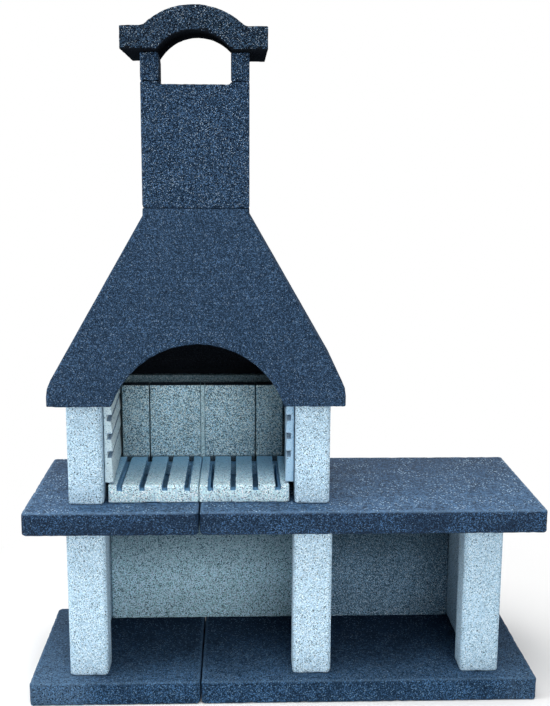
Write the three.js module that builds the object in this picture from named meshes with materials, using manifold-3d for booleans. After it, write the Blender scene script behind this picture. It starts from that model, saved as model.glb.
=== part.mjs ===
import * as THREE from "three";
import { mergeVertices } from "three/addons/utils/BufferGeometryUtils.js";
import Module from "manifold-3d";

// A garden barbecue built from concrete castings, in millimetres, +Z up.
// +X is to the right seen from the front, and +Y goes to the back.
// The origin is on the ground, under the middle of the worktop.

const wasm = await Module();
wasm.setup();

// Joints between castings
const seatGap = 0.3; // dry joint under and beside a casting
const slabJoint = 2.5; // open joint between two slabs of one course
const cutOverrun = 5; // how far a cutter runs past the faces that it cuts
const arcSteps = 2; // half the straight steps in a rounded corner
const archSteps = 9; // half the straight steps in an arch

// Base and worktop, two slabs each
const slabThickness = 74;
const worktopLength = 1600;
const worktopDepth = 590;
const baseSetback = 26; // from the worktop's front edge
const leftSlabLength = 535;
const slabCornerRadius = 9;
const slabJointRadius = 6;
const slabEdgeRadius = 5;

// Three T-shaped legs, and the panels that close the bays behind them
const legHeight = 492;
const legPillarWidth = 122;
const legPillarDepth = 100;
const legSetback = 76; // from the worktop's front edge
const legSpread = 705; // between the middles of the left and middle legs
const rightLegInset = 175; // from the worktop's right end to the leg's middle
const webThickness = 44;
const panelThickness = 52;
const wallMargin = 40; // from the back of every wall to the worktop's back edge
const pillarRadius = 14;
const webRadius = 6;
const castEdgeRadius = 4;

// Firebox walls
const fireboxCentreInset = 534; // from the worktop's left end
const fireboxHeight = 320;
const fireboxWidth = 805; // over the two side pillars
const fireboxSetback = 77; // from the worktop's front edge
const sidePillarWidth = 108;
const sidePillarDepth = 100;
const rearWallThickness = 52;

// Firebricks along the back of the firebox
const brickTopGap = 18; // from the top of the bricks to the hood
const brickThickness = 50;
const brickAirGap = 29; // from the bricks to the rear wall
const brickEndGap = 6; // from the row to the notched walls
const innerBrickShare = 0.651; // of what an inner and an outer brick take up together
const brickJoint = 3; // open joint between an inner and an outer brick
const fillerWidth = 15; // filled joint between the two inner bricks
const fillerRecess = 1;
const brickRadius = 3.5;
const brickEdgeRadius = 2.5;

// Two slotted fire grates
const grateSetback = 93; // from the worktop's front edge
const grateShift = 2; // laid this far to the left of the firebox's middle
const grateHeight = 57;
const gratePlate = 18; // thickness over the ash space
const grateSkirt = 35; // wall round the ash space
const grateSideGap = 14.5; // from a grate to a side pillar
const grateJoint = 1.5; // between the two grates
const grateRearGap = 3; // from a grate to the bricks
const slotCount = 4;
const slotWidth = 16;
const slotInset = 27; // from a grate's side to its first slot
const grateRadius = 6;

// Notched walls that carry a cooking grill
const restSetback = 108; // from the worktop's front edge
const restThickness = 27;
const restTopGap = 5; // from the top of a wall to the hood
const restLift = 3; // from the top of the grates
const restSplay = 13; // how much further each wall stands out at the back
const shelfCount = 3;
const firstShelf = 81.5; // from the bottom of the wall to its lowest shelf
const topToothHeight = 40; // from the highest notch to the top of the wall
const notchHeight = 17.5;
const notchDepth = 17;
const toothSlant = 4; // how far the top of a tooth stands back from its foot

// Hood
const hoodHeight = 584;
const hoodSideOverhang = 44; // past the side pillars
const hoodRearOverhang = 10; // past the rear wall
const hoodSetback = 22; // from the worktop's front edge
const hoodShift = 4; // laid this far to the left of the firebox's middle
const hoodWall = 45;
const hoodRadius = 10;
const skirtHeight = 56; // upright band round the foot of the hood
const skirtBlend = 24; // height of the curve between the skirt and the slopes
const neckHeight = 22; // upright band under the chimney
const bearingWidth = 115; // from the hood's side to the end of its bearing
const bearingHeight = 40;
const archSpan = 516;
const archRise = 186;

// Chimney
const flueWidth = 317;
const flueDepth = 270;
const flueSetback = 100; // from the worktop's front edge
const flueSideWall = 55;
const flueFrontWall = 45;
const flueHeight = 356; // up to the sill of the window
const flueRadius = 10;
const sillRadius = 8;
const windowHeight = 90; // from the sill to the cap
const windowFlare = 12; // how much each post thins towards the back

// Chimney cap
const capSideOverhang = 52; // past the chimney on the left and right
const capOverhang = 50; // in front of the chimney and behind it
const capEndThickness = 67;
const capHeight = 125;
const crownRadius = 212;
const shoulderRadius = 30;
const capArchSpan = 208;
const capArchRise = 53;
const capArchDraft = 18; // how much the arch grows towards the back

// Places across the barbecue
const worktopLeft = -worktopLength / 2;
const worktopRight = worktopLength / 2;
const worktopFront = -worktopDepth / 2;
const worktopBack = worktopDepth / 2;
const slabSplit = worktopLeft + leftSlabLength;
const fireboxCentre = worktopLeft + fireboxCentreInset;
const legCentres = {
  left: fireboxCentre - legSpread / 2,
  middle: fireboxCentre + legSpread / 2,
  right: worktopRight - rightLegInset,
};
const sidePillarOffset = (fireboxWidth - sidePillarWidth) / 2;
const fireboxInnerHalf = fireboxWidth / 2 - sidePillarWidth;
const hoodWidth = fireboxWidth + 2 * hoodSideOverhang;
const capWidth = flueWidth + 2 * capSideOverhang;

// Places from front to back
const wallBack = worktopBack - wallMargin;
const legFront = worktopFront + legSetback;
const fireboxFront = worktopFront + fireboxSetback;
const rearWallFront = wallBack - rearWallThickness;
const brickBack = rearWallFront - brickAirGap;
const brickFront = brickBack - brickThickness;
const grateFront = worktopFront + grateSetback;
const restFront = worktopFront + restSetback;
const restLength = rearWallFront - seatGap - restFront;
const restTouch = fireboxFront + sidePillarDepth - pillarRadius;
const hoodFront = worktopFront + hoodSetback;
const hoodDepth = wallBack + hoodRearOverhang - hoodFront;
const capDepth = flueDepth + 2 * capOverhang;

// Heights of the courses
const baseTop = slabThickness;
const legTop = baseTop + legHeight;
const worktopTop = legTop + slabThickness;
const fireboxTop = worktopTop + fireboxHeight;
const brickHeight = fireboxHeight - brickTopGap;
const restHeight = fireboxHeight - grateHeight - restLift - restTopGap;
const shelfPitch = (restHeight - firstShelf - notchHeight - topToothHeight) / (shelfCount - 1);
const hoodTop = fireboxTop + hoodHeight;
const sillLevel = hoodTop + flueHeight;
const postFoot = sillLevel + sillRadius;
const capFoot = sillLevel + windowHeight;

// Finishes
const anthraciteCast = { color: "#34485f", roughness: 0.92, metalness: 0 };
const anthraciteSlab = { color: "#3a4f66", roughness: 0.7, metalness: 0 };
const whiteCast = { color: "#c2d3dc", roughness: 0.9, metalness: 0 };
const fireConcrete = { color: "#aebfc6", roughness: 0.94, metalness: 0 };
const fireMortar = { color: "#9aa9ae", roughness: 0.96, metalness: 0 };

const barbecue = new THREE.Group();

// Adds one casting with a material of its own.
function addCasting(name, geometry, finish, x, y, z) {
  const mesh = new THREE.Mesh(geometry, new THREE.MeshStandardMaterial(finish));
  mesh.name = name;
  mesh.position.set(x, y, z);
  barbecue.add(mesh);
}

// An outline whose corners, given as [x, y, radius] anticlockwise, are arcs.
function roundedShape(corners) {
  const shape = new THREE.Shape();
  corners.forEach(([x, y, radius], i) => {
    const corner = new THREE.Vector2(x, y);
    const before = new THREE.Vector2(...corners.at(i - 1));
    const after = new THREE.Vector2(...corners[(i + 1) % corners.length]);
    const back = before.sub(corner).normalize();
    const ahead = after.sub(corner).normalize();
    const halfAngle = Math.acos(back.dot(ahead)) / 2;
    const reach = radius / Math.tan(halfAngle);
    const middle = back.clone().add(ahead).normalize();
    const centre = corner.clone().addScaledVector(middle, radius / Math.sin(halfAngle));
    const start = corner.clone().addScaledVector(back, reach).sub(centre);
    const end = corner.clone().addScaledVector(ahead, reach).sub(centre);
    const hollow = back.cross(ahead) > 0;
    shape.absarc(centre.x, centre.y, radius, start.angle(), end.angle(), hollow);
  });
  return shape;
}

// A rectangle from the origin, with a corner radius for each end.
function rectangle(width, depth, leftRadius, rightRadius = leftRadius) {
  return roundedShape([
    [0, 0, leftRadius],
    [width, 0, rightRadius],
    [width, depth, rightRadius],
    [0, depth, leftRadius],
  ]);
}

// A plan outline raised to a height, with its upper and lower edges rounded.
function raise(shape, height, edgeRadius) {
  const geometry = new THREE.ExtrudeGeometry(shape, {
    depth: height - 2 * edgeRadius,
    bevelThickness: edgeRadius,
    bevelSize: edgeRadius,
    bevelOffset: -edgeRadius,
    bevelSegments: arcSteps,
    curveSegments: arcSteps,
  });
  return geometry.translate(0, 0, edgeRadius);
}

// Turns what was built upwards so that it runs from the front to the back.
function layBack(geometry, depth) {
  return geometry.rotateX(Math.PI / 2).translate(0, depth, 0);
}

// A front outline, drawn in X and Z, carried back by a depth.
function carryBack(shape, depth, steps = arcSteps) {
  const geometry = new THREE.ExtrudeGeometry(shape, {
    depth,
    bevelEnabled: false,
    curveSegments: steps,
  });
  return layBack(geometry, depth);
}

// A plain block between two corners, for cutting and joining.
function block(low, high) {
  const size = new THREE.Vector3(...high).sub(new THREE.Vector3(...low));
  const geometry = new THREE.BoxGeometry(size.x, size.y, size.z);
  return geometry.translate(...size.divideScalar(2).add(new THREE.Vector3(...low)));
}

// A skin over outlines of equal point counts, at rising levels, closed at both ends.
function loft(sections) {
  const count = sections[0].points.length;
  const place = ({ points, level }) => points.flatMap((p) => [p.x, p.y, level]);
  const lids = THREE.ShapeUtils.triangulateShape(sections[0].points, []);
  const index = lids.flatMap(([a, b, c]) => [a, c, b]);
  for (let low = 0; low < count * (sections.length - 1); low += count) {
    for (let i = 0; i < count; i++) {
      const j = (i + 1) % count;
      index.push(low + i, low + j, low + count + j);
      index.push(low + i, low + count + j, low + count + i);
    }
  }
  const top = count * (sections.length - 1);
  index.push(...lids.flatMap(([a, b, c]) => [top + a, top + b, top + c]));
  const positions = new THREE.Float32BufferAttribute(sections.flatMap(place), 3);
  return new THREE.BufferGeometry().setAttribute("position", positions).setIndex(index);
}

// The points of an outline, each one once.
function outlinePoints(shape, steps = arcSteps) {
  const points = shape.getPoints(steps);
  return points.filter((point, i) => point.distanceTo(points.at(i - 1)) > seatGap);
}

// A closed geometry as a solid that can be cut and joined.
function solidOf(geometry) {
  const bare = geometry.clone();
  bare.deleteAttribute("normal");
  bare.deleteAttribute("uv");
  const merged = mergeVertices(bare);
  return new wasm.Manifold(
    new wasm.Mesh({
      numProp: 3,
      vertProperties: merged.attributes.position.array,
      triVerts: new Uint32Array(merged.index.array),
    }),
  );
}

function geometryOf(solid) {
  const mesh = solid.getMesh();
  const positions = new THREE.BufferAttribute(mesh.vertProperties, 3);
  return new THREE.BufferGeometry()
    .setAttribute("position", positions)
    .setIndex(new THREE.BufferAttribute(mesh.triVerts, 1));
}

// Cuts each of the cutters out of a geometry.
function cutAway(geometry, cutters) {
  const cut = (solid, cutter) => solid.subtract(solidOf(cutter));
  return geometryOf(cutters.reduce(cut, solidOf(geometry)));
}

// Both courses of slabs: the base on the ground and the worktop on the legs.
function makeSlabCourse(course, depth, front, level) {
  const rightSlabLength = worktopLength - leftSlabLength;
  const left = rectangle(leftSlabLength - slabJoint / 2, depth, slabCornerRadius, slabJointRadius);
  const right = rectangle(rightSlabLength - slabJoint / 2, depth, slabJointRadius, slabCornerRadius);
  const lift = level > 0 ? seatGap : 0;
  const leftSlab = raise(left, slabThickness - lift, slabEdgeRadius);
  const rightSlab = raise(right, slabThickness - lift, slabEdgeRadius);
  const rightPlace = slabSplit + slabJoint / 2;
  addCasting(course + "_slab_left", leftSlab, anthraciteSlab, worktopLeft, front, level + lift);
  addCasting(course + "_slab_right", rightSlab, anthraciteSlab, rightPlace, front, level + lift);
}

// A pillar with a thinner web behind it, centred on x = 0, with its front at y = 0.
function pillarAndWeb(width, depth, length, height) {
  const half = width / 2;
  const web = webThickness / 2;
  const plan = roundedShape([
    [-half, 0, pillarRadius],
    [half, 0, pillarRadius],
    [half, depth, pillarRadius],
    [web, depth, webRadius],
    [web, length, webRadius],
    [-web, length, webRadius],
    [-web, depth, webRadius],
    [-half, depth, pillarRadius],
  ]);
  return raise(plan, height - seatGap, castEdgeRadius);
}

// A wall between two webs, standing on the course below.
function makeWallBetween(name, leftWeb, rightWeb, thickness, height, foot) {
  const left = leftWeb + webThickness / 2 + seatGap;
  const right = rightWeb - webThickness / 2 - seatGap;
  const wall = raise(rectangle(right - left, thickness, webRadius), height - seatGap, castEdgeRadius);
  addCasting(name, wall, whiteCast, left, wallBack - thickness, foot + seatGap);
}

function makeLowerBays() {
  const length = wallBack - legFront;
  for (const [side, centre] of Object.entries(legCentres)) {
    const leg = pillarAndWeb(legPillarWidth, legPillarDepth, length, legHeight);
    addCasting("leg_" + side, leg, whiteCast, centre, legFront, baseTop + seatGap);
  }
  const { left, middle, right } = legCentres;
  makeWallBetween("back_panel_left", left, middle, panelThickness, legHeight, baseTop);
  makeWallBetween("back_panel_right", middle, right, panelThickness, legHeight, baseTop);
}

function makeFireboxWalls() {
  const length = wallBack - fireboxFront;
  const left = fireboxCentre - sidePillarOffset;
  const right = fireboxCentre + sidePillarOffset;
  for (const [side, centre] of [["left", left], ["right", right]]) {
    const wall = pillarAndWeb(sidePillarWidth, sidePillarDepth, length, fireboxHeight);
    addCasting("firebox_side_" + side, wall, whiteCast, centre, fireboxFront, worktopTop + seatGap);
  }
  makeWallBetween("firebox_rear_wall", left, right, rearWallThickness, fireboxHeight, worktopTop);
}

// How far the outer face of a notched wall stands from the firebox's middle, at a place along it.
function restReach(y) {
  return fireboxInnerHalf - seatGap + (restSplay * (y - restTouch)) / restLength;
}

// Two inner and two outer firebricks, and the filled joint between the inner two.
function makeFirebricks() {
  const height = brickHeight - seatGap;
  const foot = worktopTop + seatGap;
  const brick = (width) => raise(rectangle(width, brickThickness, brickRadius), height, brickEdgeRadius);
  const outerEnd = restReach(brickFront) - restThickness - brickEndGap;
  const brickPairWidth = outerEnd - brickJoint - fillerWidth / 2;
  const innerBrickWidth = innerBrickShare * brickPairWidth;
  const outerBrickWidth = brickPairWidth - innerBrickWidth;
  const innerEnd = fillerWidth / 2 + innerBrickWidth;
  const row = [
    ["firebrick_outer_left", -outerEnd, outerBrickWidth],
    ["firebrick_inner_left", -innerEnd, innerBrickWidth],
    ["firebrick_inner_right", fillerWidth / 2, innerBrickWidth],
    ["firebrick_outer_right", innerEnd + brickJoint, outerBrickWidth],
  ];
  for (const [name, offset, width] of row) {
    addCasting(name, brick(width), fireConcrete, fireboxCentre + offset, brickFront, foot);
  }
  const strip = rectangle(fillerWidth - 2 * seatGap, brickThickness - fillerRecess, brickRadius);
  const filler = raise(strip, height, brickEdgeRadius);
  const fillerLeft = fireboxCentre - fillerWidth / 2 + seatGap;
  const fillerFront = brickFront + fillerRecess;
  addCasting("firebrick_joint_filler", filler, fireMortar, fillerLeft, fillerFront, foot);
}

// A slotted plate on a skirt, open underneath for the ash.
function makeFireGrates() {
  const width = fireboxInnerHalf - grateSideGap - grateJoint / 2;
  const depth = brickFront - grateRearGap - grateFront;
  const skirtHeight = grateHeight - gratePlate - seatGap;
  const body = raise(rectangle(width, depth, grateRadius), grateHeight - seatGap, castEdgeRadius);
  const ashSpace = block(
    [grateSkirt, grateSkirt, -cutOverrun],
    [width - grateSkirt, depth - grateSkirt, skirtHeight],
  );
  const cutters = [ashSpace];
  const slotPitch = (width - 2 * slotInset - slotWidth) / (slotCount - 1);
  for (let i = 0; i < slotCount; i++) {
    const left = slotInset + i * slotPitch;
    const low = [left, -cutOverrun, skirtHeight];
    const high = [left + slotWidth, depth + cutOverrun, grateHeight + cutOverrun];
    cutters.push(block(low, high));
  }
  const grate = cutAway(body, cutters);
  const foot = worktopTop + seatGap;
  const middle = fireboxCentre - grateShift;
  const leftPlace = middle - grateJoint / 2 - width;
  const rightPlace = middle + grateJoint / 2;
  addCasting("fire_grate_left", grate, fireConcrete, leftPlace, grateFront, foot);
  addCasting("fire_grate_right", grate.clone(), fireConcrete, rightPlace, grateFront, foot);
}

// The outline of a notched wall: x runs from its outer face into the firebox.
function restOutline() {
  const points = [[0, 0], [restThickness, 0]];
  for (let i = 0; i < shelfCount; i++) {
    const shelf = firstShelf + i * shelfPitch;
    points.push([restThickness - toothSlant, shelf]);
    points.push([restThickness - notchDepth, shelf]);
    points.push([restThickness - notchDepth, shelf + notchHeight]);
    points.push([restThickness, shelf + notchHeight]);
  }
  points.push([restThickness - toothSlant, restHeight], [0, restHeight]);
  return points;
}

// The notched walls stand against the side pillars and run back to the rear wall.
function makeGrillRests() {
  const foot = worktopTop + grateHeight + restLift;
  for (const [side, mirror] of [["left", 1], ["right", -1]]) {
    const corners = restOutline().map(([x, z]) => new THREE.Vector2(mirror * x, z));
    const outline = new THREE.Shape(mirror > 0 ? corners : corners.reverse());
    const splay = new THREE.Matrix4().makeShear(0, 0, (-mirror * restSplay) / restLength, 0, 0, 0);
    const wall = carryBack(outline, restLength).applyMatrix4(splay);
    const x = fireboxCentre - mirror * restReach(restFront);
    addCasting("grill_rest_" + side, wall, whiteCast, x, restFront, foot);
  }
}

// The hood's outline at a share of its taper: 0 is the skirt and 1 is the neck.
function hoodSection(taperShare, level, wall) {
  const width = THREE.MathUtils.lerp(hoodWidth, flueWidth, taperShare) - 2 * wall;
  const neckFront = flueSetback - hoodSetback;
  const front = THREE.MathUtils.lerp(0, neckFront, taperShare) + wall;
  const back = THREE.MathUtils.lerp(hoodDepth, neckFront + flueDepth, taperShare) - wall;
  const corners = [
    [-width / 2, front, hoodRadius],
    [width / 2, front, hoodRadius],
    [width / 2, back, hoodRadius],
    [-width / 2, back, hoodRadius],
  ];
  return { points: outlinePoints(roundedShape(corners)), level };
}

// The hood's skin, outer when the wall is zero and inner otherwise.
function hoodSkin(wall, foot, top) {
  const slopeFoot = skirtHeight - skirtBlend;
  const slopeTop = hoodHeight - neckHeight;
  const blendShare = skirtBlend / (slopeTop - skirtHeight);
  const profile = new THREE.Path();
  profile.moveTo(0, foot);
  profile.lineTo(0, slopeFoot);
  profile.quadraticCurveTo(0, skirtHeight, blendShare, skirtHeight + skirtBlend);
  profile.lineTo(1, slopeTop);
  profile.lineTo(1, top);
  return loft(profile.getPoints(arcSteps).map(({ x, y }) => hoodSection(x, y, wall)));
}

// The arched mouth in the hood's front wall.
function archCutter(span, rise, depth) {
  const radius = (span ** 2 / 4 + rise ** 2) / (2 * rise);
  const startAngle = Math.atan2(radius - rise, span / 2);
  const shape = new THREE.Shape();
  shape.moveTo(-span / 2, -cutOverrun);
  shape.lineTo(span / 2, -cutOverrun);
  shape.lineTo(span / 2, 0);
  shape.absarc(0, rise - radius, radius, startAngle, Math.PI - startAngle, false);
  return carryBack(shape, depth, archSteps);
}

function makeHood() {
  const hollow = hoodSkin(hoodWall, -cutOverrun, hoodHeight + cutOverrun);
  const shell = solidOf(hoodSkin(0, 0, hoodHeight - seatGap)).subtract(solidOf(hollow));
  const bearings = [-1, 1].map((side) => {
    const inner = side * (hoodWidth / 2 - bearingWidth);
    const outer = side * (hoodWidth / 2 - hoodWall / 2);
    const low = [Math.min(inner, outer), hoodWall / 2, 0];
    const high = [Math.max(inner, outer), hoodDepth - hoodWall / 2, bearingHeight];
    return solidOf(block(low, high));
  });
  const cast = bearings.reduce((solid, bearing) => solid.add(bearing), shell);
  const mouth = archCutter(archSpan, archRise, hoodDepth / 2).translate(hoodShift, -cutOverrun, 0);
  const geometry = geometryOf(cast.subtract(solidOf(mouth)));
  const centre = fireboxCentre - hoodShift;
  addCasting("hood", geometry, anthraciteCast, centre, hoodFront, fireboxTop + seatGap);
}

// The square flue, with a window cut through its head from front to back.
function makeFlue() {
  const sill = flueHeight - seatGap;
  const top = sill + sillRadius;
  const body = raise(rectangle(flueWidth, flueDepth, flueRadius), top, castEdgeRadius);
  const bore = block(
    [flueSideWall, flueFrontWall, -cutOverrun],
    [flueWidth - flueSideWall, flueDepth - flueFrontWall, top + cutOverrun],
  );
  const head = top + sillRadius + cutOverrun;
  const window = roundedShape([
    [flueSideWall, sill, sillRadius],
    [flueWidth - flueSideWall, sill, sillRadius],
    [flueWidth - flueSideWall, head, sillRadius],
    [flueSideWall, head, sillRadius],
  ]);
  const cut = carryBack(window, flueDepth + 2 * cutOverrun).translate(0, -cutOverrun, 0);
  const left = fireboxCentre - hoodShift - flueWidth / 2;
  const front = worktopFront + flueSetback;
  addCasting("chimney_flue", cutAway(body, [bore, cut]), anthraciteCast, left, front, hoodTop + seatGap);
}

// Posts on both sides of the window, thinner at the back, carry the cap.
function makePosts() {
  const height = capFoot - postFoot - seatGap;
  const front = worktopFront + flueSetback;
  for (const [side, mirror] of [["left", 1], ["right", -1]]) {
    const corners = [
      [0, 0, flueRadius],
      [mirror * flueSideWall, 0, flueRadius],
      [mirror * (flueSideWall - windowFlare), flueDepth, flueRadius],
      [0, flueDepth, flueRadius],
    ];
    const plan = roundedShape(mirror > 0 ? corners : corners.reverse());
    const x = fireboxCentre - hoodShift - (mirror * flueWidth) / 2;
    const post = raise(plan, height, castEdgeRadius);
    addCasting("chimney_post_" + side, post, anthraciteCast, x, front, postFoot + seatGap);
  }
}

// The cap's end view: flat ends, a round crown and an arch under it.
function capOutline(span, rise) {
  const half = capWidth / 2;
  const archRadius = (span ** 2 / 4 + rise ** 2) / (2 * rise);
  const archAngle = Math.atan2(archRadius - rise, span / 2);
  const crownCentre = capHeight - crownRadius;
  const shoulderLevel = capEndThickness + shoulderRadius;
  const shoulderRise = shoulderLevel - crownCentre;
  const shoulderPlace = Math.sqrt((crownRadius + shoulderRadius) ** 2 - shoulderRise ** 2);
  const crownAngle = Math.atan2(shoulderRise, shoulderPlace);
  const down = -Math.PI / 2;
  const shape = new THREE.Shape();
  shape.moveTo(-half, 0);
  shape.lineTo(-span / 2, 0);
  shape.absarc(0, rise - archRadius, archRadius, Math.PI - archAngle, archAngle, true);
  shape.lineTo(half, 0);
  shape.lineTo(half, capEndThickness);
  shape.absarc(shoulderPlace, shoulderLevel, shoulderRadius, down, crownAngle - Math.PI, true);
  shape.absarc(0, crownCentre, crownRadius, crownAngle, Math.PI - crownAngle, false);
  shape.absarc(-shoulderPlace, shoulderLevel, shoulderRadius, -crownAngle, down, true);
  shape.lineTo(-half, capEndThickness);
  return outlinePoints(shape, archSteps);
}

// The cap, whose arch grows towards the back as it left the mould.
function makeCap() {
  const back = capOutline(capArchSpan + 2 * capArchDraft, capArchRise + capArchDraft);
  const front = capOutline(capArchSpan, capArchRise);
  const skin = loft([{ points: back, level: 0 }, { points: front, level: capDepth }]);
  const y = worktopFront + flueSetback - capOverhang;
  const cap = layBack(skin, capDepth);
  addCasting("chimney_cap", cap, anthraciteCast, fireboxCentre - hoodShift, y, capFoot + seatGap);
}

makeSlabCourse("base", worktopDepth - baseSetback, worktopFront + baseSetback, 0);
makeLowerBays();
makeSlabCourse("worktop", worktopDepth, worktopFront, legTop);
makeFireboxWalls();
makeFirebricks();
makeFireGrates();
makeGrillRests();
makeHood();
makeFlue();
makePosts();
makeCap();

export default barbecue;
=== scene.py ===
# %% [markdown]
# # An outdoor masonry barbecue
#
# This barbecue stands in a garden. It is a stack of concrete castings: two
# courses of dark slabs, pale legs and firebox walls, a dark hood and a chimney.
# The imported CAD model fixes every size, and this lesson gives each casting its
# surface: worn edges, a grain of crushed stone, pits, glitter and soot.
# Everything is in metres, with +Z up and the front towards -Y.

# %% Load the fixed frame
import math

import bmesh
import bpy
from mathutils import Matrix, Vector, noise


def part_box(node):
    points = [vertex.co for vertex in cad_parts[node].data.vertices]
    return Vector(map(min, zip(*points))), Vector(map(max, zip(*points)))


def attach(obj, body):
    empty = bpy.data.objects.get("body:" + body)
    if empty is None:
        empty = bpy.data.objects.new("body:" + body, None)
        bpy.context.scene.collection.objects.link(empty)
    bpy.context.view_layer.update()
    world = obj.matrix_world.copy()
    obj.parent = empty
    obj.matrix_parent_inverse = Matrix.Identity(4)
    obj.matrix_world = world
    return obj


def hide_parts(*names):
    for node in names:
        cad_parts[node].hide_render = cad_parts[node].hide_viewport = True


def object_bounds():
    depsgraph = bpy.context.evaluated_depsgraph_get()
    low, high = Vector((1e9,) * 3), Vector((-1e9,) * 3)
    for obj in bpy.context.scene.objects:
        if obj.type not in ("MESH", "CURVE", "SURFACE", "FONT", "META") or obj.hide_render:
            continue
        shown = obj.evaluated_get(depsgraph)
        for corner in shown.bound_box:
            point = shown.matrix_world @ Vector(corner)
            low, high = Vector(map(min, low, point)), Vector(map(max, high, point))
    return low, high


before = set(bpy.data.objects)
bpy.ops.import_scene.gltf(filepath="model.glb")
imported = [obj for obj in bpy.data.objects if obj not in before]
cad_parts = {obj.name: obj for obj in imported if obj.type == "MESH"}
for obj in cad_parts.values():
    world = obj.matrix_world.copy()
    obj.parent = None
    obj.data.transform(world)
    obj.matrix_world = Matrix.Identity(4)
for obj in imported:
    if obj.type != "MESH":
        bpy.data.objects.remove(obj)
cad_low, cad_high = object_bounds()
print("CAD box:", [round(v, 4) for v in (*cad_low, *cad_high)])

# %% [markdown]
# ## How a casting gets its surface
#
# A concrete casting is never a perfect block. Its arrises are rounded where
# the mould was, a little grain has broken off them, and no face is quite flat.
# A Displace modifier could roughen it, but that would also push the surface
# outwards. So the faces are sliced into a grid of fine strips, and each point
# then sinks inwards by a noise value, and so the casting keeps its size.

# %% Slice a casting into strips
same_place = 1e-6  # points nearer than this are one point


def slice_up(bm, step, margin):
    """Cuts the mesh by planes along X, Y and Z, at most a step apart."""
    corners = [v.co for v in bm.verts]
    for axis in range(3):
        low = min(c[axis] for c in corners) + margin
        high = max(c[axis] for c in corners) - margin
        count = max(1, math.ceil((high - low) / step))
        normal = Vector((axis == 0, axis == 1, axis == 2))
        for i in range(count + 1):
            place = normal * (low + (high - low) * i / count)
            bmesh.ops.bisect_plane(
                bm,
                geom=bm.verts[:] + bm.edges[:] + bm.faces[:],
                dist=same_place,
                plane_co=place,
                plane_no=normal,
            )


# %% Round the arrises
def round_arrises(bm, edges, radius, segments):
    """Bevels the edges, without a change of size."""
    bmesh.ops.bevel(
        bm,
        geom=edges,
        offset=radius,
        affect="EDGES",
        segments=segments,
        profile=0.5,
        material=-1,
        clamp_overlap=True,
    )


# %% Sink the surface by noise
arris_turn = math.radians(12)  # the least turn that counts as an arris
wide_waves, fine_waves, chip_waves = 14, 75, 60  # waves of noise in a metre
level_share, wide_share, fine_share = 0.5, 0.3, 0.2  # of a wave's depth
bite_gain = 1.5
seed_steps = (3.7, 1.3, 2.1)  # how far the next casting's noise lies away


def on_arris(vert):
    """True where the surface turns outwards by more than an arris does."""
    return any(e.is_convex and e.calc_face_angle(0.0) > arris_turn for e in vert.link_edges)


def weather(bm, wave, chip, seed):
    """Sinks every point by up to a wave, and the arrises by up to a chip more."""
    bm.normal_update()
    worn = bm.verts.layers.float.new("worn")
    shift = Vector([seed * step for step in seed_steps])
    moves = []
    for vert in bm.verts:
        vert[worn] = on_arris(vert)
        wide = noise.noise(vert.co * wide_waves + shift)
        fine = noise.noise(vert.co * fine_waves + shift)
        bite = max(0.0, noise.noise(vert.co * chip_waves - shift)) * bite_gain
        depth = wave * (level_share + wide_share * wide + fine_share * fine)
        depth += chip * vert[worn] * bite
        moves.append(vert.normal * -min(depth, wave + chip))
    for vert, move in zip(bm.verts, moves):
        vert.co += move


# %% Turn a bmesh into a finished piece
bodies = {"fire_grate_left": "left_grate", "fire_grate_right": "right_grate"}
smooth_turn = math.radians(32)  # edges that turn less than this are shaded smooth
pieces = {}


def finish_casting(bm, node):
    """Makes the object that stands for a CAD node, and lets it ride its body."""
    bmesh.ops.recalc_face_normals(bm, faces=bm.faces[:])
    mesh = bpy.data.meshes.new(node + "_casting")
    bm.to_mesh(mesh)
    bm.free()
    mesh.shade_smooth()
    mesh.set_sharp_from_angle(angle=smooth_turn)
    piece = bpy.data.objects.new(node + "_casting", mesh)
    bpy.context.scene.collection.objects.link(piece)
    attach(piece, bodies.get(node, "masonry"))
    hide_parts(node)
    pieces[node] = piece
    print(node, "has", len(mesh.polygons), "faces")


# %% [markdown]
# ## Slabs, panels and firebricks
#
# These castings are blocks. Each one starts as a cube that is stretched
# between the corners that the CAD node gives. Its four upright arrises get the
# larger radius of the mould's corners, and then the arrises of the upper and
# lower face get a smaller one.

# %% Stretch a cube between two corners
level_face = 0.99  # the least upward part of a level face's normal


def block(low, high):
    """A box between two corners, as a bmesh."""
    bm = bmesh.new()
    stretch = Matrix.Diagonal((*(high - low), 1.0))
    place = Matrix.Translation((low + high) / 2)
    bmesh.ops.create_cube(bm, size=1.0, matrix=place @ stretch)
    return bm


def upright_edges(bm):
    """The edges that run straight up."""
    return [
        e
        for e in bm.edges
        if (e.verts[0].co.xy - e.verts[1].co.xy).length < same_place
    ]


def rim_edges(bm):
    """The edges round the upper and the lower faces."""
    bm.normal_update()
    return [
        e
        for e in bm.edges
        if len(e.link_faces) == 2
        and (abs(e.link_faces[0].normal.z) > level_face)
        != (abs(e.link_faces[1].normal.z) > level_face)
    ]


# %% Make every block casting
strip_margin = 0.006  # from an arris's bevel to the first strip


def make_block(node, slot, corner, arris, step, wave, chip):
    """A block casting, with its radii, its strips and the depth of its wear."""
    bm = block(*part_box(node))
    round_arrises(bm, upright_edges(bm), corner, 4)
    round_arrises(bm, rim_edges(bm), arris, 3)
    slice_up(bm, step, arris + strip_margin)
    weather(bm, wave, chip, len(pieces))
    finish_casting(bm, node)


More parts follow.
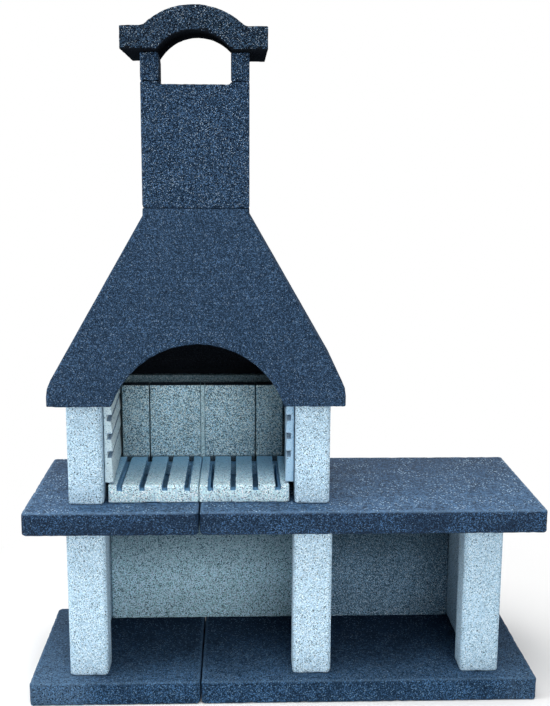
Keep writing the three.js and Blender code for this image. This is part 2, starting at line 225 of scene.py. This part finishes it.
# Slot, corner radius, arris radius, step of the strips, wave and chip
slab_of_base = ("anthracite_slab", 0.012, 0.006, 0.015, 0.0006, 0.0025)
slab_of_worktop = ("anthracite_slab", 0.014, 0.008, 0.015, 0.0006, 0.0018)
panel = ("white_cast", 0.006, 0.004, 0.015, 0.0006, 0.0015)
brick = ("fire_concrete", 0.0035, 0.0025, 0.012, 0.0004, 0.0014)
filler = ("fire_mortar", 0.0035, 0.0025, 0.012, 0.0006, 0.0012)
for side in ("left", "right"):
    make_block("base_slab_" + side, *slab_of_base)
    make_block("worktop_slab_" + side, *slab_of_worktop)
    make_block("back_panel_" + side, *panel)
    make_block("firebrick_outer_" + side, *brick)
    make_block("firebrick_inner_" + side, *brick)
make_block("firebox_rear_wall", *panel)
make_block("firebrick_joint_filler", *filler)

# %% [markdown]
# ## Legs and firebox walls
#
# Each of these pale castings is a pillar with a thinner web behind it, a T
# seen from above. A cube couldn't give the T, and joining two blocks would
# leave a seam. So eight points draw the T on the ground, the face between them
# is extruded upwards, and the pillar's corners get a larger radius than the
# web's.

# %% Extrude an outline
def extrude_outline(points, move):
    """A closed solid from a flat outline, carried along by a vector."""
    bm = bmesh.new()
    outline = bm.faces.new([bm.verts.new(p) for p in points])
    made = bmesh.ops.extrude_face_region(bm, geom=[outline], use_keep_orig=True)
    lid = [g for g in made["geom"] if isinstance(g, bmesh.types.BMVert)]
    bmesh.ops.translate(bm, verts=lid, vec=move)
    bmesh.ops.recalc_face_normals(bm, faces=bm.faces[:])
    return bm


# %% Make the T-shaped castings
web_thickness = 0.044
pillar_depth = 0.100
pillar_radius, web_radius, pillar_arris = 0.014, 0.006, 0.007
pillar_step = 0.013
pillar_margin = 0.010  # from the rim to the first strip
pillar_wave, pillar_chip = 0.0006, 0.0024
touching = 1e-5  # an edge nearer to a face than this lies on it


def make_pillar_and_web(node):
    """A pillar with its web, between the corners of the CAD node."""
    low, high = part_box(node)
    middle = (low.x + high.x) / 2
    left, right = middle - web_thickness / 2, middle + web_thickness / 2
    shoulder = low.y + pillar_depth
    plan = [
        (low.x, low.y), (high.x, low.y), (high.x, shoulder), (right, shoulder),
        (right, high.y), (left, high.y), (left, shoulder), (low.x, shoulder),
    ]
    bm = extrude_outline([(x, y, low.z) for x, y in plan], Vector((0, 0, high.z - low.z)))
    outer = [
        e for e in upright_edges(bm) if abs(e.verts[0].co.x - middle) > web_thickness
    ]
    round_arrises(bm, outer, pillar_radius, 5)
    inner = [
        e
        for e in upright_edges(bm)
        if abs(abs(e.verts[0].co.x - middle) - web_thickness / 2) < touching
        and e.verts[0].co.y > shoulder - touching
    ]
    round_arrises(bm, inner, web_radius, 3)
    round_arrises(bm, rim_edges(bm), pillar_arris, 3)
    slice_up(bm, pillar_step, pillar_margin)
    weather(bm, pillar_wave, pillar_chip, len(pieces))
    finish_casting(bm, node)


for node in ("leg_left", "leg_middle", "leg_right", "firebox_side_left", "firebox_side_right"):
    make_pillar_and_web(node)

# %% [markdown]
# ## Castings with holes and arches
#
# The hood, the flue, the cap, the grates and the notched walls are already
# shaped by their moulds in the CAD model. Modelling them twice would only risk
# a second, slightly different shape. So a copy of the CAD mesh is merged, its
# flat faces are joined up again, and the copy gets the same worn arrises and
# weather as the blocks.

# %% Copy a CAD node and join up its flat faces
weld_distance = 2e-5
flat_turn = math.radians(0.6)  # faces that turn less than this become one
sharp_turn = math.radians(50)  # edges that turn more than this are rounded


def copy_of(node):
    """The CAD node's mesh as a merged bmesh with whole flat faces."""
    bm = bmesh.new()
    bm.from_mesh(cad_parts[node].data)
    bmesh.ops.remove_doubles(bm, verts=bm.verts[:], dist=weld_distance)
    bmesh.ops.dissolve_limit(
        bm,
        angle_limit=flat_turn,
        verts=bm.verts[:],
        edges=bm.edges[:],
        delimit=set(),
    )
    bmesh.ops.recalc_face_normals(bm, faces=bm.faces[:])
    return bm


def sharp_edges(bm):
    """The outward edges with a sharp turn."""
    bm.normal_update()
    return [e for e in bm.edges if e.is_convex and e.calc_face_angle(0.0) > sharp_turn]


# %% Make the moulded castings
# Slot, arris radius, step of the strips, wave and chip
moulded = {
    "hood": ("anthracite_cast", 0.004, 0.009, 0.0007, 0.0045),
    "chimney_flue": ("anthracite_cast", 0.003, 0.008, 0.0007, 0.0045),
    "chimney_post_left": ("anthracite_cast", 0.007, 0.007, 0.0006, 0.0030),
    "chimney_post_right": ("anthracite_cast", 0.007, 0.007, 0.0006, 0.0030),
    "chimney_cap": ("anthracite_cast", 0.004, 0.007, 0.0008, 0.0028),
    "fire_grate_left": ("fire_concrete", 0.0025, 0.011, 0.0005, 0.0022),
    "fire_grate_right": ("fire_concrete", 0.0025, 0.011, 0.0005, 0.0022),
    "grill_rest_left": ("white_cast", 0.003, 0.012, 0.0004, 0.0016),
    "grill_rest_right": ("white_cast", 0.003, 0.012, 0.0004, 0.0016),
}
for node, (slot, arris, step, wave, chip) in moulded.items():
    bm = copy_of(node)
    round_arrises(bm, sharp_edges(bm), arris, 2)
    slice_up(bm, step, arris + strip_margin)
    weather(bm, wave, chip, len(pieces))
    finish_casting(bm, node)

# %% [markdown]
# ## The grain of the concrete
#
# Every casting is sand and crushed stone in cement. From a few steps away that
# reads as grains of 2 to 5 mm, some lighter and some darker than the rest,
# with small open pits between them. An image could carry this, but a Voronoi
# pattern on Object coordinates has no seams and runs through the solid as real
# grain does. One node group makes it for all finishes.

# %% Small helpers for node trees
def add_node(tree, kind, **settings):
    """Adds a node and gives its sockets and properties their values."""
    made = tree.nodes.new(kind)
    for key, value in settings.items():
        if key in made.inputs:
            made.inputs[key].default_value = value
        else:
            setattr(made, key, value)
    return made


def add_math(tree, operation, first, second):
    """A Math node whose inputs are sockets or numbers."""
    made = tree.nodes.new("ShaderNodeMath")
    made.operation = operation
    for i, value in enumerate((first, second)):
        if isinstance(value, (int, float)):
            made.inputs[i].default_value = value
        else:
            tree.links.new(value, made.inputs[i])
    return made.outputs[0]


def add_range(tree, value, low, high, to_low=0.0, to_high=1.0):
    """A Map Range node from one span of values to another."""
    made = add_node(tree, "ShaderNodeMapRange", clamp=True)
    tree.links.new(value, made.inputs["Value"])
    for i, number in enumerate((low, high, to_low, to_high), start=1):
        made.inputs[i].default_value = number
    return made.outputs["Result"]


# %% Build the grain group
grain = bpy.data.node_groups.new("stone_grain", "ShaderNodeTree")
grain.interface.new_socket("Vector", in_out="INPUT", socket_type="NodeSocketVector")
for name, value in (("Grains per Metre", 300), ("Dark Share", 0.1), ("Light Share", 0.1)):
    made = grain.interface.new_socket(name, in_out="INPUT", socket_type="NodeSocketFloat")
    made.default_value = value
for name in ("Sand", "Dark", "Light", "Gravel", "Cloud", "Pit", "Painted Glint", "Height"):
    grain.interface.new_socket(name, in_out="OUTPUT", socket_type="NodeSocketFloat")
way_in = grain.nodes.new("NodeGroupInput")
way_out = grain.nodes.new("NodeGroupOutput")
soft_rim = 0.08  # how softly a stone ends, in widths of its cell
pit_depth = 1.6  # in heights of a grain


def add_texture(kind, per_grain, **settings):
    """A texture in the grain group whose scale follows the grain size."""
    texture = add_node(grain, kind, **settings)
    grain.links.new(way_in.outputs["Vector"], texture.inputs["Vector"])
    scale = add_math(grain, "MULTIPLY", way_in.outputs["Grains per Metre"], per_grain)
    grain.links.new(scale, texture.inputs["Scale"])
    return texture


def cell_value(texture, channel):
    """A random number for each cell of a Voronoi texture."""
    split = grain.nodes.new("ShaderNodeSeparateColor")
    grain.links.new(texture.outputs["Color"], split.inputs["Color"])
    return split.outputs[channel]


def pick_stones(texture, channel, share, reach):
    """A mask of the stones in a share of the cells, each as wide as a reach."""
    chosen = add_math(grain, "LESS_THAN", cell_value(texture, channel), share)
    near = add_range(grain, texture.outputs["Distance"], reach + soft_rim, reach - soft_rim)
    return add_math(grain, "MULTIPLY", chosen, near)


sand = add_texture("ShaderNodeTexVoronoi", 1.45)
dark_stones = add_texture("ShaderNodeTexVoronoi", 1.0)
light_stones = add_texture("ShaderNodeTexVoronoi", 1.1)
cloud = add_texture("ShaderNodeTexNoise", 0.03, Detail=4.0, Roughness=0.6)
patches = add_texture("ShaderNodeTexNoise", 0.05, Detail=2.0)
holes = add_texture("ShaderNodeTexVoronoi", 0.47)
flecks = add_texture("ShaderNodeTexVoronoi", 0.50)

dark_mask = pick_stones(dark_stones, "Red", way_in.outputs["Dark Share"], 0.52)
light_mask = pick_stones(light_stones, "Green", way_in.outputs["Light Share"], 0.50)
pit = pick_stones(holes, "Blue", 0.03, 0.30)
# Painted glints: bright flecks of highlight, thicker where the patches crowd them.
painted_glint = pick_stones(flecks, "Blue", 0.24, 0.31)
crowded = add_range(grain, patches.outputs["Fac"], 0.38, 0.60)
painted_glint = add_math(grain, "MULTIPLY", painted_glint, crowded)
dome = add_range(grain, dark_stones.outputs["Distance"], 0.0, 0.9, 1.0, 0.0)
height = add_math(grain, "SUBTRACT", dome, add_math(grain, "MULTIPLY", pit, pit_depth))
results = {
    "Sand": cell_value(sand, "Green"),
    "Dark": dark_mask,
    "Light": light_mask,
    "Gravel": cell_value(flecks, "Red"),
    "Cloud": cloud.outputs["Fac"],
    "Pit": pit,
    "Painted Glint": painted_glint,
    "Height": height,
}
for name, value in results.items():
    grain.links.new(value, way_out.inputs[name])
print("stone_grain has", len(grain.nodes), "nodes")

# %% [markdown]
# ## One recipe for every finish
#
# A finish is a cement colour with darker and lighter stones in it. The grain
# group says where they are. Larger clouds make the casting a little uneven,
# pits are nearly black, and worn arrises are lighter. Faces that look up hold a
# little pale dust, which also paints the sheen of the sky on them, and some
# slabs get painted glints there. Where a casting is darker or lighter along one
# axis, mostly as painted shade and painted light, a second colour is mixed in,
# and that would also hide the stones. So a slab whose stones still show through
# gets them last. Each finish gets its own numbers.

# %% Mix colours by a mask
def mix_colour(tree, mask, first, second):
    """A Mix node between two colours, or sockets that carry them."""
    made = add_node(tree, "ShaderNodeMix", data_type="RGBA")
    for name, value in (("Factor", mask), ("A", first), ("B", second)):
        socket = next(s for s in made.inputs if s.name == name and s.enabled)
        if isinstance(value, bpy.types.NodeSocket):
            tree.links.new(value, socket)
        else:
            socket.default_value = value if isinstance(value, float) else (*value, 1.0)
    return next(s for s in made.outputs if s.name == "Result" and s.enabled)


# %% Lay stones over a colour
def add_stones(tree, group, colour, dark, light):
    """Mixes in the dark and then the light stones of the grain group."""
    colour = mix_colour(tree, group.outputs["Dark"], colour, dark)
    return mix_colour(tree, group.outputs["Light"], colour, light)


# %% Mix a second colour into a part of a casting, mostly painted light and shade
def add_shade(tree, place, colour, shade):
    """Mixes in a second colour where a coordinate goes from low to high."""
    axis, low, high, amount, tone = shade
    mask = add_range(tree, place.outputs[axis], low, high, 0.0, amount)
    return mix_colour(tree, mask, colour, tone)


# %% Make a concrete finish
# The colour of the painted glints.
painted_glint_colour = (0.47, 0.64, 0.80)
pit_share = 0.25  # of the dark stones' colour
relief_strength, relief_depth = 0.2, 0.0015
# Dust and painted sheen gather on faces that look up; the painted glints use the same mask.
slope_to_level = (0.4, 0.95)  # the upward part of a normal, where dust starts and is full
wall_to_slope = (0.15, 0.7)  # the same for wear
cloud_span = (0.38, 0.62)  # where the clouds start and are full
least_dust_and_sheen_share, most_dust_and_sheen_share = 0.3, 1.7  # in a light and in a heavy patch


def concrete(name, cement, dark, light, grains=300, dark_share=0.2, light_share=0.2,
             sand=(0.7, 1.3, 1.0), pits=1.0, painted_glints=0.0, dust_and_sheen=None, dusting_and_sheen=0.0,
             wear=0.0, unevenness=0.2, shades=(), stones_over_shades=False, roughness=0.9,
             sheen=0.03):
    """A material for one kind of casting."""
    made = bpy.data.materials.new(name)
    made.use_nodes = True
    tree = made.node_tree
    shader = tree.nodes["Principled BSDF"]
    coordinates = tree.nodes.new("ShaderNodeTexCoord")
    place = tree.nodes.new("ShaderNodeSeparateXYZ")
    tree.links.new(coordinates.outputs["Object"], place.inputs["Vector"])
    facing = tree.nodes.new("ShaderNodeSeparateXYZ")
    geometry = tree.nodes.new("ShaderNodeNewGeometry")
    tree.links.new(geometry.outputs["Normal"], facing.inputs["Vector"])
    upward = add_range(tree, facing.outputs["Z"], *slope_to_level)
    group = add_node(tree, "ShaderNodeGroup", node_tree=grain)
    tree.links.new(coordinates.outputs["Object"], group.inputs["Vector"])
    shares = {"Grains per Metre": grains, "Dark Share": dark_share, "Light Share": light_share}
    for socket, value in shares.items():
        group.inputs[socket].default_value = value
    least, most, rarity = sand
    fine = tuple(c * least for c in cement)
    coarse = tuple(min(1.0, c * most) for c in cement)
    sandy = add_math(tree, "POWER", group.outputs["Sand"], rarity)
    colour = mix_colour(tree, sandy, fine, coarse)
    clouds = add_range(tree, group.outputs["Cloud"], *cloud_span, 0.0, unevenness)
    colour = mix_colour(tree, clouds, colour, dark)
    # Pale dust on faces that look up, which also paints the sheen of the sky on them.
    if dusting_and_sheen:
        thin, thick = least_dust_and_sheen_share * dusting_and_sheen, most_dust_and_sheen_share * dusting_and_sheen
        uneven = add_range(tree, group.outputs["Gravel"], 0.2, 0.9, thin, thick)
        colour = mix_colour(tree, add_math(tree, "MULTIPLY", upward, uneven), colour, dust_and_sheen)
    if not stones_over_shades:
        colour = add_stones(tree, group, colour, dark, light)
    for shade in shades:
        colour = add_shade(tree, place, colour, shade)
    if stones_over_shades:
        colour = add_stones(tree, group, colour, dark, light)
    if wear:
        arris = add_node(tree, "ShaderNodeAttribute", attribute_name="worn")
        exposed = add_range(tree, facing.outputs["Z"], *wall_to_slope, 0.0, wear)
        rubbed = add_math(tree, "MULTIPLY", arris.outputs["Fac"], exposed)
        colour = mix_colour(tree, rubbed, colour, light)
    hole = add_math(tree, "MULTIPLY", group.outputs["Pit"], pits)
    colour = mix_colour(tree, hole, colour, tuple(c * pit_share for c in dark))
    # Painted glints, on faces that look up.
    if painted_glints:
        painted_shine = add_math(tree, "MULTIPLY", group.outputs["Painted Glint"], upward)
        painted_shine = add_math(tree, "MULTIPLY", painted_shine, painted_glints)
        colour = mix_colour(tree, painted_shine, colour, painted_glint_colour)
    tree.links.new(colour, shader.inputs["Base Color"])
    shader.inputs["Roughness"].default_value = roughness
    shader.inputs["Specular IOR Level"].default_value = sheen
    relief = add_node(tree, "ShaderNodeBump", Strength=relief_strength, Distance=relief_depth)
    tree.links.new(group.outputs["Height"], relief.inputs["Height"])
    tree.links.new(relief.outputs["Normal"], shader.inputs["Normal"])
    print(name, "has", len(tree.nodes), "nodes")
    return made


# %% Choose the numbers for the dark castings
hood_cast = concrete(
    "anthracite_hood", (0.024, 0.048, 0.088), (0.006, 0.014, 0.030), (0.14, 0.20, 0.28),
    grains=330, dark_share=0.20, light_share=0.05, sand=(0.4, 2.8, 3.0), unevenness=0.15,
)
chimney_cast = concrete(
    "anthracite_chimney", (0.021, 0.043, 0.080), (0.003, 0.007, 0.016), (0.32, 0.42, 0.53),
    grains=375, dark_share=0.28, light_share=0.08, sand=(0.2, 4.3, 3.2), unevenness=0.15,
)
cap_cast = concrete(
    "anthracite_cap", (0.013, 0.025, 0.043), (0.001, 0.002, 0.004), (0.38, 0.46, 0.54),
    grains=370, dark_share=0.34, light_share=0.09, sand=(0.2, 5.0, 3.5), unevenness=0.15,
)
# Painted shade that darkens the slabs towards the back.
painted_back_shade = (0.0018, 0.008, 0.024)
# Painted light for the parts that the worktop doesn't shelter from the sky.
painted_sky_light = (0.40, 0.65, 0.95)
base_cast = concrete(
    "anthracite_base", (0.022, 0.056, 0.112), (0.004, 0.013, 0.030), (0.11, 0.20, 0.31),
    grains=270, dark_share=0.30, light_share=0.06, sand=(0.35, 3.4, 3.0), unevenness=0.6,
    wear=0.20, dusting_and_sheen=0.2, dust_and_sheen=(0.12, 0.22, 0.36), painted_glints=0.2, roughness=0.7, sheen=0.06,
    stones_over_shades=True,
    shades=[
        # Painted shade under the worktop, darker towards the back.
        ("Y", -0.20, 0.17, 0.88, painted_back_shade),
        # Painted light at both ends of the base, outside the worktop's cover.
        ("X", -0.58, -0.66, 0.085, painted_sky_light),
        ("X", 0.66, 0.72, 0.04, painted_sky_light),
        # At the rear rim the painted shade gives way to the base's own tone.
        ("Y", 0.250, 0.275, 0.6, (0.024, 0.052, 0.095)),
    ],
)
worktop_cast = concrete(
    "anthracite_worktop", (0.016, 0.040, 0.082), (0.003, 0.011, 0.028), (0.11, 0.19, 0.30),
    grains=300, dark_share=0.30, light_share=0.04, sand=(0.25, 4.4, 3.6), unevenness=0.6,
    wear=0.4, dusting_and_sheen=0.34, dust_and_sheen=(0.12, 0.24, 0.42), painted_glints=1.0, roughness=0.6, sheen=0.1,
    stones_over_shades=True,
    # Painted shade that darkens the top towards the back.
    shades=[("Y", -0.16, 0.20, 0.45, painted_back_shade)],
)

# %% Choose the numbers for the pale castings
pillar_cast = concrete(
    "white_pillar", (0.41, 0.585, 0.745), (0.03, 0.05, 0.07), (0.82, 0.95, 1.0),
    grains=320, dark_share=0.19, light_share=0.2, sand=(0.6, 1.4, 1.0), unevenness=0.06,
    shades=[
        # Darker towards the right end.
        ("X", 0.25, 0.60, 0.25, (0.20, 0.32, 0.42)),
        # Painted shade at the left end, which the left lamp lights more strongly.
        ("X", -0.48, -0.60, 0.10, (0.20, 0.32, 0.42)),
    ],
)
rest_cast = concrete(
    "white_rest", (0.74, 0.91, 1.0), (0.12, 0.20, 0.26), (0.92, 1.0, 1.0),
    grains=340, dark_share=0.13, light_share=0.2, sand=(0.8, 1.15, 1.0), unevenness=0.06,
    shades=[
        # Painted shade on the front ends of the notched walls.
        ("Y", -0.165, -0.183, 0.42, (0.20, 0.36, 0.48)),
        # The right wall is darker than the left.
        ("X", -0.10, 0.0, 0.5, (0.14, 0.35, 0.60)),
    ],
)
shadow = (0.02, 0.04, 0.055)
panel_cast = concrete(
    "white_panel", (0.33, 0.545, 1.0), (0.008, 0.03, 0.07), (0.64, 0.84, 1.0),
    grains=270, dark_share=0.33, light_share=0.40, sand=(0.03, 1.6, 0.6), unevenness=0.1,
    shades=[("Z", 0.24, 0.42, 0.7, shadow)],
)
# The right back panel is darker than the left.
darker_panel_cast = concrete(
    "white_panel_darker", (0.16, 0.28, 0.40), (0.012, 0.03, 0.045), (0.60, 0.76, 0.90),
    grains=330, dark_share=0.40, light_share=0.16, sand=(0.4, 2.2, 2.0), unevenness=0.3,
    shades=[("Z", 0.22, 0.42, 0.8, shadow), ("X", 0.3, 0.62, 0.2, shadow)],
)
rear_cast = concrete(
    "white_rear_face", (0.36, 0.54, 0.70), (0.05, 0.08, 0.11), (0.80, 0.95, 1.0),
    grains=330, dark_share=0.28, light_share=0.22, sand=(0.6, 1.35, 1.0), unevenness=0.2,
)
# Painted shade on the rear wall's front face, which lies under the hood.
rear_wall_shade_cast = concrete(
    "white_rear_wall", (0.15, 0.24, 0.29), (0.04, 0.07, 0.09), (0.45, 0.55, 0.60),
    grains=330, dark_share=0.34, light_share=0.15,
)
# Painted shade that darkens the firebricks towards the side walls.
painted_side_shade = (0.03, 0.05, 0.06)
brick_cast = concrete(
    "fire_brick", (0.33, 0.54, 0.68), (0.03, 0.055, 0.07), (0.85, 1.0, 1.0),
    grains=300, dark_share=0.43, light_share=0.32, sand=(0.2, 1.5, 0.7),
    shades=[
        ("X", -0.40, -0.56, 0.53, painted_side_shade),
        ("X", -0.22, 0.02, 0.42, painted_side_shade),
        # Painted shade where the bricks meet the grates' top, running on down behind the
        # grates.
        ("Z", 0.702, 0.694, 0.9, (0.03, 0.055, 0.08)),
    ],
)
grate_cast = concrete(
    "fire_grate", (0.51, 0.73, 0.97), (0.03, 0.05, 0.08), (1.0, 1.0, 1.0),
    grains=300, dark_share=0.25, light_share=0.28, sand=(0.65, 1.35, 1.0), unevenness=0.1,
    # Painted shade: the tops turn bluer towards the back, under the hood.
    shades=[("Y", -0.20, 0.10, 0.85, (0.36, 0.71, 1.0))],
)
mortar_cast = concrete(
    "fire_mortar", (0.44, 0.64, 0.72), (0.10, 0.15, 0.17), (0.8, 0.92, 0.98),
    grains=380, dark_share=0.2, light_share=0.15, sand=(0.6, 1.4, 1.0),
)

# %% Give every casting its finish
finishes = {
    "base_slab": base_cast,
    "leg": pillar_cast,
    "back_panel_left": panel_cast,
    "back_panel_right": darker_panel_cast,
    "worktop_slab": worktop_cast,
    "firebox_side": pillar_cast,
    "firebox_rear_wall": rear_wall_shade_cast,
    "firebrick_outer": brick_cast,
    "firebrick_inner": brick_cast,
    "firebrick_joint_filler": mortar_cast,
    "fire_grate": grate_cast,
    "grill_rest": rest_cast,
    "hood": hood_cast,
    "chimney_flue": chimney_cast,
    "chimney_post": chimney_cast,
    "chimney_cap": cap_cast,
}
for node, piece in pieces.items():
    finish = next(f for start, f in finishes.items() if node.startswith(start))
    piece.data.materials.append(finish)
print(len(pieces), "castings have their finish")

# %% [markdown]
# ## Painted shade in the hollows
#
# The inside of the hood and the flue and the underside of the cap get a
# near-black finish, which is painted shade; the outside keeps its own finish.
# The slots of the grates and the worktop under them get a pale tone, which
# paints light into the deep slots and is darker at their front ends. The tops
# of the firebricks and the grooves where a cooking grill slides in get painted
# shade. A mask painted by position would need the shape of each hollow, but the
# faces already know it: an inner face looks towards the casting's middle, or
# lies some way behind its outer faces. Those faces get a second material. In the
# same way, the rear faces of the panels and of the rear wall get a pale finish
# without the painted shade of their front faces.

# %% Choose the numbers for the painted shade and light in the hollows
# Painted shade: a near-black finish inside the hood and the flue and under the cap.
painted_hollow_shade = concrete(
    "hood_inner_shade", (0.006, 0.008, 0.011), (0.002, 0.003, 0.005), (0.012, 0.015, 0.02),
    grains=300, pits=0.3, sheen=0.0,
)
# Painted light and shade for the slots of the grates and the worktop under them: a pale tone
# against the deep shade, darker at the front ends where light falls.
painted_slot_shading = concrete(
    "grate_slot_shading", (0.28, 0.54, 0.78), (0.10, 0.22, 0.34), (0.44, 0.68, 0.88),
    grains=400, pits=0.3, sheen=0.0,
    shades=[("Y", -0.02, -0.19, 0.8, (0.12, 0.28, 0.46))],
)
# Painted shade on the tops of the firebricks, which look up into the dark hood.
painted_top_shade = concrete(
    "brick_top_shade", (0.06, 0.09, 0.12), (0.03, 0.045, 0.06), (0.15, 0.20, 0.24),
    grains=330, dark_share=0.2, light_share=0.1, sheen=0.0,
)
# Painted shade in the grooves of the notched walls, under each tooth.
painted_groove_shade = concrete(
    "rest_groove_shade", (0.34, 0.47, 0.60), (0.08, 0.12, 0.16), (0.50, 0.66, 0.80),
    grains=330, dark_share=0.2, light_share=0.1, sheen=0.0,
)


# %% Give a second finish to the faces that a test picks out
def refinish(node, finish, is_refinished):
    """Gives a second finish to the faces that the test is true for."""
    piece = pieces[node]
    piece.data.materials.append(finish)
    refinished = [f for f in piece.data.polygons if is_refinished(f)]
    for face in refinished:
        face.material_index = 1
    print(node, "has", len(refinished), "stained faces")


def looks_inwards(node, wall, undersides):
    """A test for faces behind a wall that look towards the middle."""
    low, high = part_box(node)
    middle = (low + high) / 2

    def test(face):
        inwards = (middle - face.center).xy.dot(face.normal.xy)
        deep = min(face.center.y - low.y, high.y - face.center.y) > wall
        return deep and (inwards > 0.0 or undersides and face.normal.z < -0.4)

    return test


def lies_within(node, margin):
    """A test for faces that lie inside the casting's own box by a margin."""
    low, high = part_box(node)

    def test(face):
        inner = min(*(face.center - low).xy, *(high - face.center)) > margin
        return inner or face.normal.z < -0.5

    return test


def lies_under(node, margin):
    """A test for faces that look up at the casting from inside its outline by a margin."""
    low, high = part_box(node)

    def test(face):
        inner = min(*(face.center - low).xy, *(high - face.center).xy) > margin
        return inner and face.normal.z > 0.9

    return test


wall_splay, wall_thickness = 0.013, 0.027
groove_rim = 0.002  # this near to the wall's own faces, a face is no groove


def is_in_groove(node, outwards):
    """A test for a groove's shelf and roof and the arris over it. The wall splays."""
    low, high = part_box(node)
    inner_front = low.x if outwards > 0 else high.x

    def test(face):
        splay = wall_splay * (face.center.y - low.y) / (high.y - low.y)
        depth = (face.center.x - inner_front) * outwards - splay
        if face.normal.z > 0.5:
            return groove_rim < depth < wall_thickness - groove_rim
        return depth < wall_thickness - groove_rim and face.normal.z < -0.2

    return test


# %% Give the castings their second finishes
hollow_wall = 0.040  # faces behind this much of a casting are inner faces
slot_margin = 0.004
ash_margin = 0.030  # the walls round the ash space are a little thicker

# The rear faces get a pale finish without the painted shade of the front faces.
for node in ("back_panel_left", "back_panel_right", "firebox_rear_wall"):
    refinish(node, rear_cast, lambda face: face.normal.y > 0.5)
for node in pieces:
    if node.startswith("firebrick"):
        refinish(node, painted_top_shade, lambda face: face.normal.z > 0.9)
refinish("hood", painted_hollow_shade, looks_inwards("hood", hollow_wall, True))
refinish("chimney_flue", painted_hollow_shade, looks_inwards("chimney_flue", hollow_wall, False))
refinish("chimney_cap", painted_hollow_shade, lambda face: face.normal.z < -0.15)
for side, outwards in (("left", -1), ("right", 1)):
    grate, rest = "fire_grate_" + side, "grill_rest_" + side
    refinish(grate, painted_slot_shading, lies_within(grate, slot_margin))
    refinish("worktop_slab_" + side, painted_slot_shading, lies_under(grate, ash_margin))
    refinish(rest, painted_groove_shade, is_in_groove(rest, outwards))

# %% [markdown]
# ## Light, floor and camera
#
# The castings are seen in soft daylight: a broad sky overhead and a slightly
# stronger side on the left. Three large area lamps and a pale world give this
# without hard shadows. The floor is nearly white and fades to plain white away
# from the barbecue, so that only the soft shadow at its foot shows.

# %% Light the scene
def add_softbox(name, place, aim, width, depth, power):
    """Adds a large lamp that looks at a point."""
    lamp = bpy.data.lights.new(name, "AREA")
    lamp.shape = "RECTANGLE"
    lamp.size, lamp.size_y = width, depth
    lamp.energy = power
    made = bpy.data.objects.new(name, lamp)
    bpy.context.scene.collection.objects.link(made)
    made.location = place
    direction = Vector(aim) - Vector(place)
    made.rotation_euler = direction.to_track_quat("-Z", "Y").to_euler()


def add_seen_mask(tree):
    """A mask of what the camera sees, also in a mirror or through glass."""
    rays = tree.nodes.new("ShaderNodeLightPath").outputs
    seen = add_math(tree, "MAXIMUM", rays["Is Camera Ray"], rays["Is Glossy Ray"])
    return add_math(tree, "MAXIMUM", seen, rays["Is Transmission Ray"])


# Name, place, aim, width, depth and power in watts
add_softbox("sky", (-0.3, -0.6, 4.6), (0.0, 0.0, 0.6), 4.5, 3.5, 215)
add_softbox("front_right", (1.1, -4.9, 2.2), (0.0, 0.0, 0.9), 3.4, 3.0, 112)
add_softbox("left_side", (-3.9, -1.0, 2.3), (-0.7, 0.0, 0.2), 2.4, 2.0, 100)
lighting_strength, seen_strength = 0.30, 1.0  # of the pale world

world = bpy.data.worlds.new("pale_sky")
bpy.context.scene.world = world
world.use_nodes = True
sky = world.node_tree
backdrop = sky.nodes["Background"]
backdrop.inputs["Color"].default_value = (1, 1, 1, 1)
strength = add_range(sky, add_seen_mask(sky), 0.0, 1.0, lighting_strength, seen_strength)
sky.links.new(strength, backdrop.inputs["Strength"])
print(len(bpy.data.lights), "lamps and a pale world")

# %% Lay the floor
floor_radius = 40.0
floor_gap = 0.0005
fade_start, fade_end = 0.9, 1.6  # from the origin, where the floor turns white

bm = bmesh.new()
bmesh.ops.create_circle(bm, cap_ends=True, segments=96, radius=floor_radius)
bmesh.ops.translate(bm, verts=bm.verts[:], vec=(0, 0, cad_low.z - floor_gap))
floor_mesh = bpy.data.meshes.new("floor")
bm.to_mesh(floor_mesh)
bm.free()
floor = bpy.data.objects.new("floor", floor_mesh)
bpy.context.scene.collection.objects.link(floor)
paint = bpy.data.materials.new("pale_floor")
paint.use_nodes = True
tree = paint.node_tree
shader = tree.nodes["Principled BSDF"]
shader.inputs["Base Color"].default_value = (0.9, 0.9, 0.9, 1)
shader.inputs["Roughness"].default_value = 0.9
glow = add_node(tree, "ShaderNodeEmission", Strength=1.0)
coordinates = tree.nodes.new("ShaderNodeTexCoord")
reach = add_node(tree, "ShaderNodeVectorMath", operation="LENGTH")
tree.links.new(coordinates.outputs["Object"], reach.inputs[0])
far = add_range(tree, reach.outputs["Value"], fade_start, fade_end)
blend = tree.nodes.new("ShaderNodeMixShader")
tree.links.new(add_math(tree, "MULTIPLY", far, add_seen_mask(tree)), blend.inputs["Fac"])
tree.links.new(shader.outputs["BSDF"], blend.inputs[1])
tree.links.new(glow.outputs["Emission"], blend.inputs[2])
tree.links.new(blend.outputs["Shader"], tree.nodes["Material Output"].inputs["Surface"])
floor.data.materials.append(paint)
print("The floor lies at z =", round(cad_low.z - floor_gap, 4))

# %% Place the camera as in the photograph
eye = Vector((-0.1446, -3.3145, 1.6895))
yaw, pitch, roll = 0.0353, 0.1835, 0.0051  # in radians
focal_pixels, picture_height = 1047.5, 706
forward = Vector((
    math.sin(yaw) * math.cos(pitch),
    math.cos(yaw) * math.cos(pitch),
    -math.sin(pitch),
))
level = Vector((math.cos(yaw), -math.sin(yaw), 0))
rise = level.cross(forward)
right = level * math.cos(roll) + rise * math.sin(roll)
up = rise * math.cos(roll) - level * math.sin(roll)
lens = bpy.data.cameras.new("camera")
lens.sensor_fit = "AUTO"
lens.sensor_width = 36
lens.lens = focal_pixels / picture_height * lens.sensor_width
camera = bpy.data.objects.new("camera", lens)
bpy.context.scene.collection.objects.link(camera)
turn = Matrix((right, up, -forward)).transposed().to_4x4()
camera.matrix_world = Matrix.Translation(eye) @ turn
bpy.context.scene.camera = camera
bpy.context.scene.view_settings.view_transform = "Standard"
print("The lens is", round(lens.lens, 1), "mm long")
